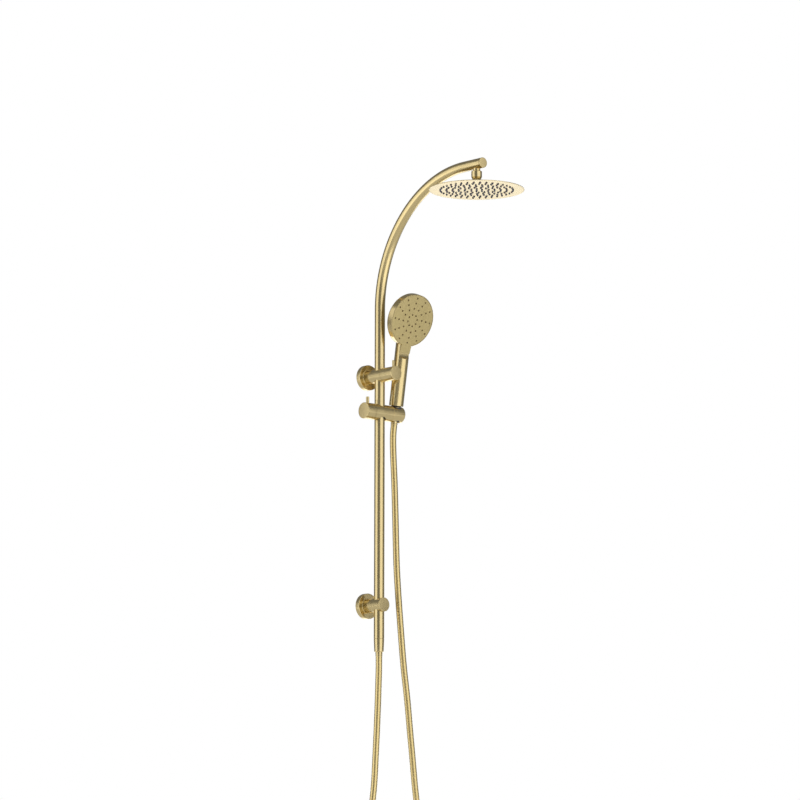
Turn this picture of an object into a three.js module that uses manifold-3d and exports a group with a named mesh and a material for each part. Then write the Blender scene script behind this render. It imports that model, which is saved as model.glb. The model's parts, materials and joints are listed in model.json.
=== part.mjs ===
// A rainfall shower column for a bathroom wall: a round rail on two wall brackets, bent forward
// at the top into the arm of a slim rain head, with a sliding holder, a hand shower and its hose.
// Millimetres, +Z up. The wall is the plane Y = 0, the column stands in front of it at -Y,
// and the origin is the centre of the back of the lower bracket's fixing plate.
import * as THREE from "three";
import { mergeVertices } from "three/addons/utils/BufferGeometryUtils.js";
import Module from "manifold-3d";

const wasm = await Module();
wasm.setup();

// Driving dimensions
const GAP = 0.3; // between pieces that touch or run in each other
const FINE = 24; // sides of the large round pieces
const MEDIUM = 16; // sides of the pieces about 20 mm across
const COARSE = 10; // sides of pins and screws

const RAIL_RADIUS = 11;
const RAIL_BORE = 9.5;
const RAIL_FROM_WALL = 45; // wall to the axis of the rail
const RAIL_BOTTOM = -71.7;
const BRACKET_SPACING = 491; // between the axes of the two wall brackets

const BEND_START = 635; // where the rail begins to curve forward
const BEND_RADIUS = 268;
const ARM_STRAIGHT = 57; // straight length after the bend
const GOOSENECK_STEPS = 34;
const OUTLET_FROM_TIP = 18; // tip of the arm's tube to the axis of the outlet

const BRACKET_RADIUS = 15;
const FLANGE_RADIUS = 27.2;
const FLANGE_DEPTH = 11;
const FLANGE_WALL = 2.2;
const LOWER_ARM_END = 58.2; // from the wall
const UPPER_BODY_END = 61.7;
const KNOB_END = 98.3;

const SLIDER_HEIGHT = 412; // axis of the holder at rest
const SLIDER_RADIUS = 17.3;
const SLIDER_LEFT = -22;
const SLIDER_RIGHT = 27;
const LOCK_KNOB_END = -45;
const CRADLE_END = 58.5;
const CRADLE_X = 44; // axis of the socket that holds the hand shower
const BUSH_RADIUS = 13;

const HANDLE_LEAN = THREE.MathUtils.degToRad(9.5);
const HANDLE_RADIUS = 15.4;
const HANDLE_BOTTOM = 20; // along the handle's axis, from the holder's axis
const HANDLE_STEP = 134.5; // where the flat tongue is let into the handle
const HANDLE_TOP = 168;
const FACE_CENTRE = new THREE.Vector3(CRADLE_X, -100.5, 608.5);
const FACE_TILT = THREE.MathUtils.degToRad(20.3);
const FACE_RADIUS = 57;
const FACE_DEPTH = 17.5;
const TONGUE_HALF_WIDTH = 13.6;

const HEAD_RADIUS = 100;
const SWIVEL_DROP = 25; // arm axis to the centre of the ball joint
const HUB_TOP = 35.6; // below the arm's axis
const COVER_TOP = 47.5;
const HEAD_UNDERSIDE = 55.7;

const HOSE_RADIUS = 7;
const FERRULE_RADIUS = 7.35;
const HOSE_STEPS = 64;
const HOSE_SIDES = 8;

// Routed by hand: down from the rail's outlet, round in a free loop and up to the holder.
const HOSE_ROUTE = [
  [0, -45, -109.3],
  [0, -45, -135],
  [-1, -45, -166],
  [-2.2, -45, -200],
  [-5, -45, -260],
  [-8.5, -45, -320],
  [-12.4, -45, -380],
  [-19, -45, -432],
  [-22.2, -45, -467],
  [-23, -45, -502],
  [-13.9, -45, -536],
  [11, -45, -560.9],
  [45, -45, -570],
  [79, -45, -560.9],
  [103.9, -45, -536],
  [113, -45, -502],
  [112.2, -45, -467],
  [109.5, -45, -432],
  [101.5, -45, -375],
  [95, -45, -320],
  [88, -44.5, -260],
  [81.3, -44, -200],
  [70.9, -43, -122],
  [62.5, -42, -36],
  [57.1, -41, 29],
  [54.2, -39.5, 85],
  [53.3, -38, 137],
  [53, -36, 200],
  [51.6, -34.6, 266],
  [47.6, -35, 331],
  [45, -37.4, 366],
  [44, -41.4, 390.4],
];

const ARM_HEIGHT = BEND_START + BEND_RADIUS;
const TIP_Y = -(RAIL_FROM_WALL + BEND_RADIUS + ARM_STRAIGHT);
const OUTLET_Y = TIP_Y + OUTLET_FROM_TIP;

// Finishes
const finish = (color, roughness, metalness) =>
  new THREE.MeshStandardMaterial({ color, roughness, metalness });
const brushedGold = finish(0xb8a878, 0.32, 1);
const brass = finish(0xc9a75a, 0.4, 1);
const steel = finish(0x9a9c9e, 0.35, 1);
const blackRubber = finish(0x23242a, 0.8, 0);
const darkPlastic = finish(0x2b2d38, 0.5, 0);
const paleNylon = finish(0xe4e2da, 0.6, 0);
const silicone = finish(0x3d4252, 0.7, 0);
const ceramicGrey = finish(0x7d8086, 0.5, 0);

// Shapes
// A round piece about Z. The profile lists [radius, height] up the outside and down the inside.
function turned(profile, sides = FINE) {
  const onAxis = profile[0][0] === 0;
  const closed = onAxis ? profile : [...profile, profile[0]];
  const points = closed.map(([radius, height]) => new THREE.Vector2(radius, height));
  return new THREE.LatheGeometry(points, sides).rotateX(Math.PI / 2);
}

function rod(radius, low, high, sides = MEDIUM) {
  return turned([[0, low], [radius, low], [radius, high], [0, high]], sides);
}

function ring(inner, outer, low, high, sides = MEDIUM) {
  return turned([[outer, low], [outer, high], [inner, high], [inner, low]], sides);
}

// A rod with a small chamfer round its high end.
function capped(radius, low, high, chamfer, sides = FINE) {
  const edge = [[radius, high - chamfer], [radius - chamfer, high]];
  return turned([[0, low], [radius, low], ...edge, [0, high]], sides);
}

const alongX = (geometry) => geometry.rotateY(Math.PI / 2);
const alongY = (geometry) => geometry.rotateX(-Math.PI / 2);
const moved = (geometry, x, y, z) => geometry.translate(x, y, z);

// Booleans
function solidFrom(geometry) {
  const bare = geometry.clone();
  bare.deleteAttribute("normal");
  bare.deleteAttribute("uv");
  const merged = mergeVertices(bare, 1e-4);
  const mesh = new wasm.Mesh({
    numProp: 3,
    vertProperties: new Float32Array(merged.attributes.position.array),
    triVerts: new Uint32Array(merged.index.array),
  });
  return new wasm.Manifold(mesh);
}

function geometryFrom(solid) {
  const mesh = solid.getMesh();
  const geometry = new THREE.BufferGeometry();
  geometry.setAttribute("position", new THREE.BufferAttribute(mesh.vertProperties, 3));
  geometry.setIndex(new THREE.BufferAttribute(mesh.triVerts, 1));
  geometry.computeVertexNormals();
  return geometry;
}

function shaped(start, { add = [], cut = [] }) {
  const whole = add.reduce((solid, piece) => solid.add(solidFrom(piece)), solidFrom(start));
  return geometryFrom(cut.reduce((solid, piece) => solid.subtract(solidFrom(piece)), whole));
}

// Placing
function placed(parent, name, geometry, material) {
  const mesh = new THREE.Mesh(geometry, material);
  mesh.name = name;
  parent.add(mesh);
  return mesh;
}

function frameAt(parent, x, y, z, turnX = 0) {
  const frame = new THREE.Group();
  frame.position.set(x, y, z);
  frame.rotation.x = turnX;
  parent.add(frame);
  return frame;
}

// The rail's upper part: straight up, a quarter turn forward, and straight to the tip.
class Gooseneck extends THREE.Curve {
  constructor(startHeight) {
    super();
    this.rise = BEND_START - startHeight;
    this.bend = (BEND_RADIUS * Math.PI) / 2;
    this.startHeight = startHeight;
  }

  getPoint(t, target = new THREE.Vector3()) {
    const along = t * (this.rise + this.bend + ARM_STRAIGHT);
    if (along <= this.rise) return target.set(0, -RAIL_FROM_WALL, this.startHeight + along);
    const turn = Math.min((along - this.rise) / BEND_RADIUS, Math.PI / 2);
    const ahead = BEND_RADIUS * (1 - Math.cos(turn)) + Math.max(0, along - this.rise - this.bend);
    return target.set(0, -RAIL_FROM_WALL - ahead, BEND_START + BEND_RADIUS * Math.sin(turn));
  }
}

function circle(radius, sides, Kind = THREE.Shape) {
  const points = Array.from({ length: sides }, (_, i) => {
    const turn = (2 * Math.PI * i) / sides;
    return new THREE.Vector2(radius * Math.cos(turn), radius * Math.sin(turn));
  });
  return new Kind(points);
}

function tubeAlong(path, outer, inner, steps, sides) {
  const section = circle(outer, sides);
  if (inner > 0) section.holes.push(circle(inner, sides, THREE.Path));
  return new THREE.ExtrudeGeometry(section, { steps, extrudePath: path, bevelEnabled: false });
}

// A wall flange: a cup over the fixing, with a raised lip round the arm. Z is away from the wall.
function wallFlange() {
  const mouth = BRACKET_RADIUS + GAP;
  const lip = mouth + 2.2;
  return turned([
    [FLANGE_RADIUS, 0],
    [FLANGE_RADIUS, FLANGE_DEPTH - 0.6],
    [FLANGE_RADIUS - 0.6, FLANGE_DEPTH],
    [lip, FLANGE_DEPTH],
    [lip, FLANGE_DEPTH + 1.4],
    [mouth, FLANGE_DEPTH + 1.4],
    [mouth, FLANGE_DEPTH - FLANGE_WALL],
    [FLANGE_RADIUS - FLANGE_WALL, FLANGE_DEPTH - FLANGE_WALL],
    [FLANGE_RADIUS - FLANGE_WALL, 0],
  ]);
}

const column = new THREE.Group();

// Lower bracket, whose frame has Z away from the wall and Y up
const PLATE_RADIUS = 22;
const PLATE_DEPTH = 6;
const BOSS_RADIUS = 8;
const BOSS_END = 14;
const SCREW_OFFSET = 18.6;
const GRUB_DEPTH = 4;
const lowerBracket = frameAt(column, 0, 0, 0, Math.PI / 2);
placed(
  lowerBracket,
  "lower_fixing_plate",
  shaped(rod(PLATE_RADIUS, 0, PLATE_DEPTH, FINE), {
    add: [rod(BOSS_RADIUS, PLATE_DEPTH - 1, BOSS_END)],
    cut: [-SCREW_OFFSET, SCREW_OFFSET].map((x) => moved(rod(2.3, -1, PLATE_DEPTH + 1, COARSE), x, 0, 0)),
  }),
  steel,
);
[-SCREW_OFFSET, SCREW_OFFSET].forEach((x, i) => {
  const head = PLATE_DEPTH + GAP;
  const profile = [[0, GAP], [2, GAP], [2, head], [3.1, head], [3.1, head + 1.5], [0, head + 1.5]];
  placed(lowerBracket, `lower_fixing_screw_${i + 1}`, moved(turned(profile, COARSE), x, 0, 0), steel);
});
placed(
  lowerBracket,
  "lower_flange",
  shaped(wallFlange(), { cut: [moved(alongY(rod(2.1, 20, 30, COARSE)), 0, -50, GRUB_DEPTH)] }),
  brushedGold,
);
placed(
  lowerBracket,
  "lower_grub_screw",
  moved(alongY(rod(1.8, 22.5, 27, COARSE)), 0, -49.5, GRUB_DEPTH),
  steel,
);
const railBore = (from, to) =>
  moved(alongY(rod(RAIL_RADIUS + GAP, from, to)), 0, 0, RAIL_FROM_WALL);
placed(
  lowerBracket,
  "lower_bracket_arm",
  shaped(rod(BRACKET_RADIUS, PLATE_DEPTH + GAP, LOWER_ARM_END, FINE), {
    cut: [railBore(-20, 20), rod(BOSS_RADIUS + GAP, 0, BOSS_END + GAP)],
  }),
  brushedGold,
);
placed(
  lowerBracket,
  "lower_arm_cap",
  moved(capped(BRACKET_RADIUS, 0, 3, 0.6), 0, 0, LOWER_ARM_END + GAP),
  brushedGold,
);

// Upper bracket: the water comes in through the wall union and goes up or down the rail
const UNION_RADIUS = 10.5;
const UNION_BORE = 6.5;
const UNION_END = 20;
const BODY_BACK = 8.5;
const CARTRIDGE_RADIUS = 9;
const CARTRIDGE_BACK = 57;
const CARTRIDGE_END = 78;
const STEM_RADIUS = 4;
const STEM_END = 90;
const LEVER_FROM_WALL = 89;
const upperBracket = frameAt(column, 0, 0, BRACKET_SPACING, Math.PI / 2);
placed(upperBracket, "wall_union", ring(UNION_BORE, UNION_RADIUS, 0, UNION_END), brass);
placed(
  upperBracket,
  "union_washer",
  ring(UNION_BORE, UNION_RADIUS, UNION_END + GAP, UNION_END + 2),
  blackRubber,
);
placed(upperBracket, "upper_flange", wallFlange(), brushedGold);
placed(
  upperBracket,
  "upper_flange_o_ring",
  ring(BRACKET_RADIUS + 0.4, BRACKET_RADIUS + 2.6, 5.6, FLANGE_DEPTH - FLANGE_WALL - GAP),
  blackRubber,
);
placed(
  upperBracket,
  "diverter_body",
  shaped(rod(BRACKET_RADIUS, BODY_BACK, UPPER_BODY_END, FINE), {
    cut: [
      railBore(-20, 20),
      rod(UNION_RADIUS + GAP, 0, UNION_END + 2 + GAP),
      rod(UNION_BORE, UNION_END, RAIL_FROM_WALL),
      rod(CARTRIDGE_RADIUS + GAP, RAIL_FROM_WALL, UPPER_BODY_END + 1),
    ],
  }),
  brushedGold,
);
placed(
  upperBracket,
  "diverter_cartridge",
  turned([
    [CARTRIDGE_RADIUS, CARTRIDGE_BACK],
    [CARTRIDGE_RADIUS, CARTRIDGE_END],
    [STEM_RADIUS + GAP, CARTRIDGE_END],
    [STEM_RADIUS + GAP, CARTRIDGE_END - 8],
    [STEM_RADIUS - 1.5, CARTRIDGE_END - 8],
    [STEM_RADIUS - 1.5, CARTRIDGE_BACK],
  ], MEDIUM),
  ceramicGrey,
);
placed(
  upperBracket,
  "diverter_stem",
  rod(STEM_RADIUS, CARTRIDGE_END - 8 + GAP, STEM_END, COARSE),
  brass,
);
const upright = (geometry, fromWall) => moved(geometry.rotateX(-Math.PI / 2), 0, 0, fromWall);
placed(
  upperBracket,
  "diverter_knob",
  shaped(capped(BRACKET_RADIUS, UPPER_BODY_END + GAP, KNOB_END, 0.7), {
    cut: [
      rod(CARTRIDGE_RADIUS + 1.2, UPPER_BODY_END, CARTRIDGE_END + 2),
      rod(STEM_RADIUS + GAP, CARTRIDGE_END, STEM_END + GAP, COARSE),
      upright(rod(3.05, 6, 20, COARSE), LEVER_FROM_WALL),
      upright(rod(2.3, -20, -STEM_RADIUS, COARSE), CARTRIDGE_END + 6),
    ],
  }),
  brushedGold,
);
placed(
  upperBracket,
  "diverter_lever_pin",
  upright(capped(2.75, 6.5, 28.4, 0.5, COARSE), LEVER_FROM_WALL),
  brushedGold,
);
placed(upperBracket, "knob_grub_screw", upright(rod(2, -14, -4.8, COARSE), CARTRIDGE_END + 6), steel);

// The rail and the gooseneck above it, both open tubes that meet inside the diverter body
const rail = frameAt(column, 0, -RAIL_FROM_WALL, 0);
const TUBE_END_GAP = 2.9; // from the bracket's axis to the end of each tube
placed(
  rail,
  "rail_tube",
  ring(RAIL_BORE, RAIL_RADIUS, RAIL_BOTTOM, BRACKET_SPACING - TUBE_END_GAP, FINE),
  brushedGold,
);
const SEAL_LOW = BRACKET_SPACING - TUBE_END_GAP + GAP;
placed(
  rail,
  "tube_spacer_seal",
  ring(RAIL_BORE - 1, RAIL_RADIUS - 0.2, SEAL_LOW, SEAL_LOW + 2 * (TUBE_END_GAP - GAP)),
  blackRubber,
);
const gooseneck = new Gooseneck(BRACKET_SPACING + TUBE_END_GAP);
const outletHole = moved(rod(7.9, -20, 0), 0, OUTLET_Y, ARM_HEIGHT);
placed(
  column,
  "riser_tube",
  shaped(tubeAlong(gooseneck, RAIL_RADIUS, RAIL_BORE, GOOSENECK_STEPS, MEDIUM), { cut: [outletHole] }),
  brushedGold,
);
const armTip = frameAt(column, 0, TIP_Y, ARM_HEIGHT, Math.PI / 2);
placed(
  armTip,
  "arm_end_cap",
  turned([
    [0, -6],
    [RAIL_BORE - 2 * GAP, -6],
    [RAIL_BORE - 2 * GAP, GAP],
    [RAIL_RADIUS, GAP],
    [RAIL_RADIUS, 1.8],
    [RAIL_RADIUS - 0.5, 2.3],
    [0, 2.3],
  ], MEDIUM),
  brushedGold,
);

// Ball joint under the tip. Heights count down from the arm's axis.
const swivel = frameAt(column, 0, OUTLET_Y, ARM_HEIGHT);
const BALL_RADIUS = 6.2;
const NUT_TOP = 15.4;
const NUT_BOTTOM = 33;
placed(swivel, "arm_outlet_nipple", ring(5, 7.6, -18.6, -9.4), brushedGold);
placed(swivel, "swivel_washer", ring(5.2, 8.9, -20.4, -18.9), blackRubber);
placed(
  swivel,
  "swivel_nut",
  turned([
    [8.4, -NUT_BOTTOM],
    [11.2, -28],
    [11.2, -NUT_TOP - 1.3],
    [9.9, -NUT_TOP],
    [7.9, -NUT_TOP],
    [7.9, -18.6],
    [9.3, -18.6],
    [9.3, -30.5],
    [7.1, -31.2],
    [7.1, -NUT_BOTTOM],
  ], MEDIUM),
  brushedGold,
);
placed(
  swivel,
  "ball_seat_ring",
  turned([[8.9, -30.1], [8.9, -25.5], [6.6, -25.5], [6.6, -27], [5.9, -29.4], [5.9, -30.1]], MEDIUM),
  paleNylon,
);
const ballProfile = Array.from({ length: 9 }, (_, i) => {
  const turn = THREE.MathUtils.degToRad(-42 + i * 13.5);
  return [BALL_RADIUS * Math.cos(turn), BALL_RADIUS * Math.sin(turn) - SWIVEL_DROP];
});
placed(
  swivel,
  "ball_stud",
  turned([
    [6, -COVER_TOP - 1],
    [6, -HUB_TOP],
    [4.2, -HUB_TOP],
    ...ballProfile,
    [2.2, ballProfile.at(-1)[1]],
    [2.2, -COVER_TOP - 1],
  ], MEDIUM),
  brass,
);

// Rain head, as slim shells round a silicone nozzle mat
placed(swivel, "rain_head_hub", ring(6.3, 14.3, -COVER_TOP + GAP, -HUB_TOP), brushedGold);
placed(
  swivel,
  "rain_head_cover",
  turned([
    [HEAD_RADIUS, -HEAD_UNDERSIDE],
    [HEAD_RADIUS, -HEAD_UNDERSIDE + 2.9],
    [HEAD_RADIUS - 8, -HEAD_UNDERSIDE + 4.8],
    [15, -COVER_TOP],
    [6.3, -COVER_TOP],
    [6.3, -COVER_TOP - 1.3],
    [20, -COVER_TOP - 1.3],
    [HEAD_RADIUS - 9, -HEAD_UNDERSIDE + 3.5],
    [HEAD_RADIUS - 1.5, -HEAD_UNDERSIDE + 1.7],
    [HEAD_RADIUS - 1.5, -HEAD_UNDERSIDE],
  ], 40),
  brushedGold,
);
placed(swivel, "rain_head_nozzle_mat", rod(89, -HEAD_UNDERSIDE + 1.7, -HEAD_UNDERSIDE + 2.8, 40), silicone);
placed(
  swivel,
  "rain_head_faceplate",
  rod(HEAD_RADIUS - 1.8, -HEAD_UNDERSIDE, -HEAD_UNDERSIDE + 1.3, 40),
  brushedGold,
);

// Hose fittings: a conical nut, the crimped ferrule in it and the washer it presses.
// Z runs from the hose towards the thread, and zero is the mouth of the nut.
const NUT_LENGTH = 28;
const NUT_MOUTH_RADIUS = 11;
const NUT_TAIL_RADIUS = 9.9;
const THREAD_RADIUS = 8.2;
const FERRULE_END = NUT_LENGTH + 9.3;
function hoseFittings(frame, owner) {
  placed(
    frame,
    `${owner}_hose_nut`,
    turned([
      [FERRULE_RADIUS + GAP, -NUT_LENGTH],
      [NUT_TAIL_RADIUS - 1.3, -NUT_LENGTH],
      [NUT_TAIL_RADIUS, -NUT_LENGTH + 1.6],
      [NUT_MOUTH_RADIUS, 0],
      [THREAD_RADIUS + GAP, 0],
      [THREAD_RADIUS + GAP, -17],
      [FERRULE_RADIUS + GAP, -17],
    ]),
    brushedGold,
  );
  placed(frame, `${owner}_hose_washer`, ring(5, THREAD_RADIUS, -16.7, -15.3), blackRubber);
  placed(frame, `${owner}_hose_ferrule`, ring(5, FERRULE_RADIUS, -FERRULE_END, -17.4), brushedGold);
}
function threadedNipple(low, high, plugRadius, plugHigh) {
  return turned([
    [THREAD_RADIUS, low],
    [THREAD_RADIUS, high],
    [plugRadius, high],
    [plugRadius, plugHigh],
    [6, plugHigh],
    [6, low],
  ], MEDIUM);
}

const railOutlet = frameAt(column, 0, -RAIL_FROM_WALL, RAIL_BOTTOM - GAP);
hoseFittings(railOutlet, "rail");
placed(railOutlet, "rail_outlet_nipple", threadedNipple(-15, 0, RAIL_BORE - GAP, 26), brass);

const hosePoints = HOSE_ROUTE.map(([x, y, z]) => new THREE.Vector3(x, y, z));
const hosePath = new THREE.CatmullRomCurve3(hosePoints, false, "centripetal");
placed(
  column,
  "shower_hose",
  tubeAlong(
    hosePath,
    HOSE_RADIUS,
    0,
    HOSE_STEPS,
    HOSE_SIDES,
  ),
  brushedGold,
);

// Sliding holder: a plastic bush on the rail, a round bar that swivels on it,
// a lock knob with a clamp screw on the left and the tilting cradle on the right
const holder = frameAt(column, 0, -RAIL_FROM_WALL, SLIDER_HEIGHT);
const SCREW_RADIUS = 3;
const CLAMP_SCREW_LEFT = -38;
const LOCK_PIN_X = -34;
const facingLeft = (geometry) =>
  moved(alongX(geometry).rotateZ(Math.PI), SLIDER_LEFT - GAP, 0, 0);
placed(holder, "rail_bush", ring(RAIL_RADIUS + GAP, BUSH_RADIUS, -11.5, 11.5, FINE), darkPlastic);
placed(
  holder,
  "slider_body",
  shaped(alongX(rod(SLIDER_RADIUS, SLIDER_LEFT, SLIDER_RIGHT, FINE)), {
    cut: [
      rod(BUSH_RADIUS + GAP, -20, 20, FINE),
      alongX(rod(SCREW_RADIUS + GAP, SLIDER_LEFT - 1, 0, COARSE)),
      alongX(rod(SCREW_RADIUS + GAP, BUSH_RADIUS + 1.6, SLIDER_RIGHT + 1, COARSE)),
    ],
  }),
  brushedGold,
);
placed(
  holder,
  "lock_knob",
  shaped(facingLeft(capped(SLIDER_RADIUS, 0, SLIDER_LEFT - GAP - LOCK_KNOB_END, 0.7)), {
    cut: [
      alongX(rod(SCREW_RADIUS + GAP, CLAMP_SCREW_LEFT - GAP, SLIDER_LEFT, COARSE)),
      moved(rod(3.7, 6.4, 20, COARSE), LOCK_PIN_X, 0, 0),
    ],
  }),
  brushedGold,
);
placed(holder, "lock_knob_pin", moved(capped(3.4, 7, 30.5, 0.5, COARSE), LOCK_PIN_X, 0, 0), brushedGold);
placed(holder, "clamp_screw", alongX(rod(SCREW_RADIUS, CLAMP_SCREW_LEFT, -BUSH_RADIUS - 0.5, COARSE)), steel);
placed(holder, "cradle_pivot_pin", alongX(rod(SCREW_RADIUS, BUSH_RADIUS + 1.9, 29.6, COARSE)), steel);

// The cradle's socket follows the nut's taper along the leaning axis of the handle.
const socketLean = (geometry) => moved(geometry.rotateX(HANDLE_LEAN), CRADLE_X, 0, 0);
const NUT_MOUTH_HEIGHT = 15.8; // above the holder's axis, along the handle
const nutRadiusAt = (along) =>
  NUT_MOUTH_RADIUS +
  ((along - NUT_MOUTH_HEIGHT) * (NUT_MOUTH_RADIUS - NUT_TAIL_RADIUS)) / (NUT_LENGTH - 1.6);
const LINER_LOW = -14.4;
const LINER_HIGH = 12.4;
const LINER_THICKNESS = 1.2;
placed(
  holder,
  "cradle",
  shaped(alongX(capped(SLIDER_RADIUS, SLIDER_RIGHT + GAP, CRADLE_END, 1.4)), {
    cut: [
      socketLean(
        turned([
          [0, -22],
          [nutRadiusAt(-22) + LINER_THICKNESS + 2 * GAP, -22],
          [nutRadiusAt(22) + LINER_THICKNESS + 2 * GAP, 22],
          [0, 22],
        ]),
      ),
      alongX(rod(SCREW_RADIUS + GAP, SLIDER_RIGHT, 29.9, COARSE)),
    ],
  }),
  brushedGold,
);
placed(
  holder,
  "cradle_liner",
  socketLean(
    turned([
      [nutRadiusAt(LINER_LOW) + GAP + LINER_THICKNESS, LINER_LOW],
      [nutRadiusAt(LINER_HIGH) + GAP + LINER_THICKNESS, LINER_HIGH],
      [nutRadiusAt(LINER_HIGH) + GAP, LINER_HIGH],
      [nutRadiusAt(LINER_LOW) + GAP, LINER_LOW],
    ]),
  ),
  darkPlastic,
);

// Hand shower. The handle's frame has Z up its leaning axis, from the holder's axis.
const handle = frameAt(column, CRADLE_X, -RAIL_FROM_WALL, SLIDER_HEIGHT, HANDLE_LEAN);
const handleNut = frameAt(handle, 0, 0, NUT_MOUTH_HEIGHT);
hoseFittings(handleNut, "handset");
const HANDLE_BORE = 7;
placed(
  handle,
  "handset_inlet_nipple",
  threadedNipple(NUT_MOUTH_HEIGHT - 15, HANDLE_BOTTOM - GAP, HANDLE_BORE - GAP, HANDLE_BOTTOM + 24),
  brass,
);
placed(
  handle,
  "handset_seal_ring",
  ring(THREAD_RADIUS + GAP, THREAD_RADIUS + 1.2, NUT_MOUTH_HEIGHT + GAP, HANDLE_BOTTOM - GAP),
  blackRubber,
);

// The face's frame has X across, Y up the face and Z out of it towards the bather.
const face = frameAt(column, FACE_CENTRE.x, FACE_CENTRE.y, FACE_CENTRE.z, Math.PI / 2 + FACE_TILT);
column.updateMatrixWorld(true);
const handleInFace = face.matrixWorld.clone().invert().multiply(handle.matrixWorld);
const onHandle = (geometry) => geometry.applyMatrix4(handleInFace);
const stepInFace = new THREE.Vector3(0, 0, HANDLE_STEP).applyMatrix4(handleInFace);
const FACE_PLATE = 1.3;
const RECESS = 3.6;
const SCOOP_RADIUS = 10.3; // hollow that ends the round grip below the tongue
function slab(halfWidth, low, high, back, front) {
  const box = new THREE.BoxGeometry(2 * halfWidth, high - low, front - back);
  return moved(box, 0, (low + high) / 2, (front + back) / 2);
}
const tongueBottom = stepInFace.y - 1;
placed(
  face,
  "handset_body",
  shaped(onHandle(capped(HANDLE_RADIUS, HANDLE_BOTTOM, HANDLE_TOP, 1)), {
    add: [
      turned([
        [0, -FACE_DEPTH],
        [FACE_RADIUS - 4.5, -FACE_DEPTH],
        [FACE_RADIUS - 0.8, -FACE_DEPTH + 1.6],
        [FACE_RADIUS, -FACE_DEPTH + 4.5],
        [FACE_RADIUS, 0],
        [0, 0],
      ], 48),
    ],
    cut: [
      rod(FACE_RADIUS - 1.4, -RECESS, 1, 48),
      slab(HANDLE_RADIUS + 2, tongueBottom, -FACE_RADIUS + 10, -FACE_PLATE - GAP, 30),
      onHandle(rod(HANDLE_BORE, HANDLE_BOTTOM - 1, HANDLE_STEP + 20)),
      slab(HANDLE_RADIUS + 2, -FACE_RADIUS, FACE_RADIUS, 0, 30),
      moved(alongX(rod(SCOOP_RADIUS, -20, 20, FINE)), 0, tongueBottom, SCOOP_RADIUS - FACE_PLATE - GAP),
    ],
  }),
  brushedGold,
);
placed(
  face,
  "handset_face_plate",
  shaped(rod(FACE_RADIUS - 1.7, -FACE_PLATE, 0, 48), {
    add: [slab(TONGUE_HALF_WIDTH, tongueBottom + GAP, -FACE_RADIUS + 6, -FACE_PLATE, 0)],
  }),
  brushedGold,
);
placed(face, "handset_nozzle_mat", rod(FACE_RADIUS - 4, -RECESS + GAP, -FACE_PLATE - GAP, 40), silicone);

export default column;
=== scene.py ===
"""Looks of a rainfall shower column: brushed gold rail, rain head, hand shower and hose.

Metres, +Z up, the wall at Y = 0 and the column in front of it at -Y. Sizes in the classes are in millimetres.
"""
import json
import logging
import math
from dataclasses import dataclass, field
from enum import Enum
from typing import Any, Callable, ClassVar, Sequence

import bpy
from mathutils import Matrix, Vector


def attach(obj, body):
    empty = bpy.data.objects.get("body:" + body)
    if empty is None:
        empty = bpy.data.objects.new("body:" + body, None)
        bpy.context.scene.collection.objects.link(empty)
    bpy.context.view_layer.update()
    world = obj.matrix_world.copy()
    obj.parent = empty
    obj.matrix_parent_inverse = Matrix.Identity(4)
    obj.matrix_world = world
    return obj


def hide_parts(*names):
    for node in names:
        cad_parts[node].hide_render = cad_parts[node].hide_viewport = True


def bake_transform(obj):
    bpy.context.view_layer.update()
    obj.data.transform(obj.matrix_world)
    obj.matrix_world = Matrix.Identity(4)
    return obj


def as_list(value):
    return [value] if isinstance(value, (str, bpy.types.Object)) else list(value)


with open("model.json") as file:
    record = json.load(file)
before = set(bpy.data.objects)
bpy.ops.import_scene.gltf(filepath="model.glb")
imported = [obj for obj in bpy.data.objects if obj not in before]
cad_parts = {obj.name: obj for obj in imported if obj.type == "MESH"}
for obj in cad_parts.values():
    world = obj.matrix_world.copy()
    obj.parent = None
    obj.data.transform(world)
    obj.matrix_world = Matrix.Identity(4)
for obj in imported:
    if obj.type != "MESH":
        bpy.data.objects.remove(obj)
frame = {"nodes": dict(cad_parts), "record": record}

log = logging.getLogger("shower_column")
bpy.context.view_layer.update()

MM = 0.001
UP = Vector((0, 0, 1))
ACROSS = Vector((1, 0, 0))
OUT = Vector((0, -1, 0))
WRAP = "wrap"  # UV map of round pieces: turns about the axis, metres along it
FINE, MEDIUM, COARSE = 96, 64, 32  # steps of a spin
DISC_STEPS, NOZZLE_STEPS = 128, 12
CUTTER = -1.0  # a bevel that leaves a cutting shape as it is
WELD = 0.002 * MM  # points closer than this are one
GAP = 0.3  # between neighbouring pieces
RAIL_FROM_WALL = 45.0
BRACKET_SPACING = 491.0
SLIDER_HEIGHT = 412.0

Piece = bpy.types.Object
Tree = bpy.types.NodeTree
Socket = bpy.types.NodeSocket
Profile = Sequence[tuple[float, float]]
Unroll = Callable[[Vector], tuple[float, float]]


def at(x: float, y: float, z: float) -> Vector:
    """Returns a point given in millimetres as a vector in metres."""
    return Vector((x, y, z)) * MM


# ---- finishes


class Pattern(Enum):
    """How the marks on a surface run."""

    TURNED = "turned"  # fine lines round the piece's own axis
    STRAIGHT = "straight"  # fine lines up a flat plate
    CAST = "cast"  # even grain with no direction


class Slot(Enum):
    """The record's material slots."""

    GOLD = "brushed_gold"
    BRASS = "raw_brass"
    STEEL = "stainless_steel"
    RUBBER = "black_rubber"
    ACETAL = "dark_acetal"
    NYLON = "white_nylon"
    CARTRIDGE = "cartridge_plastic"
    GREY_SILICONE = "grey_silicone"
    BROWN_SILICONE = "brown_silicone"
    PLATED = "plated_abs"
    PLATED_FACE = "plated_abs_face"
    SHEET = "gold_stainless_sheet"
    HOSE = "gold_hose"


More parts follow.
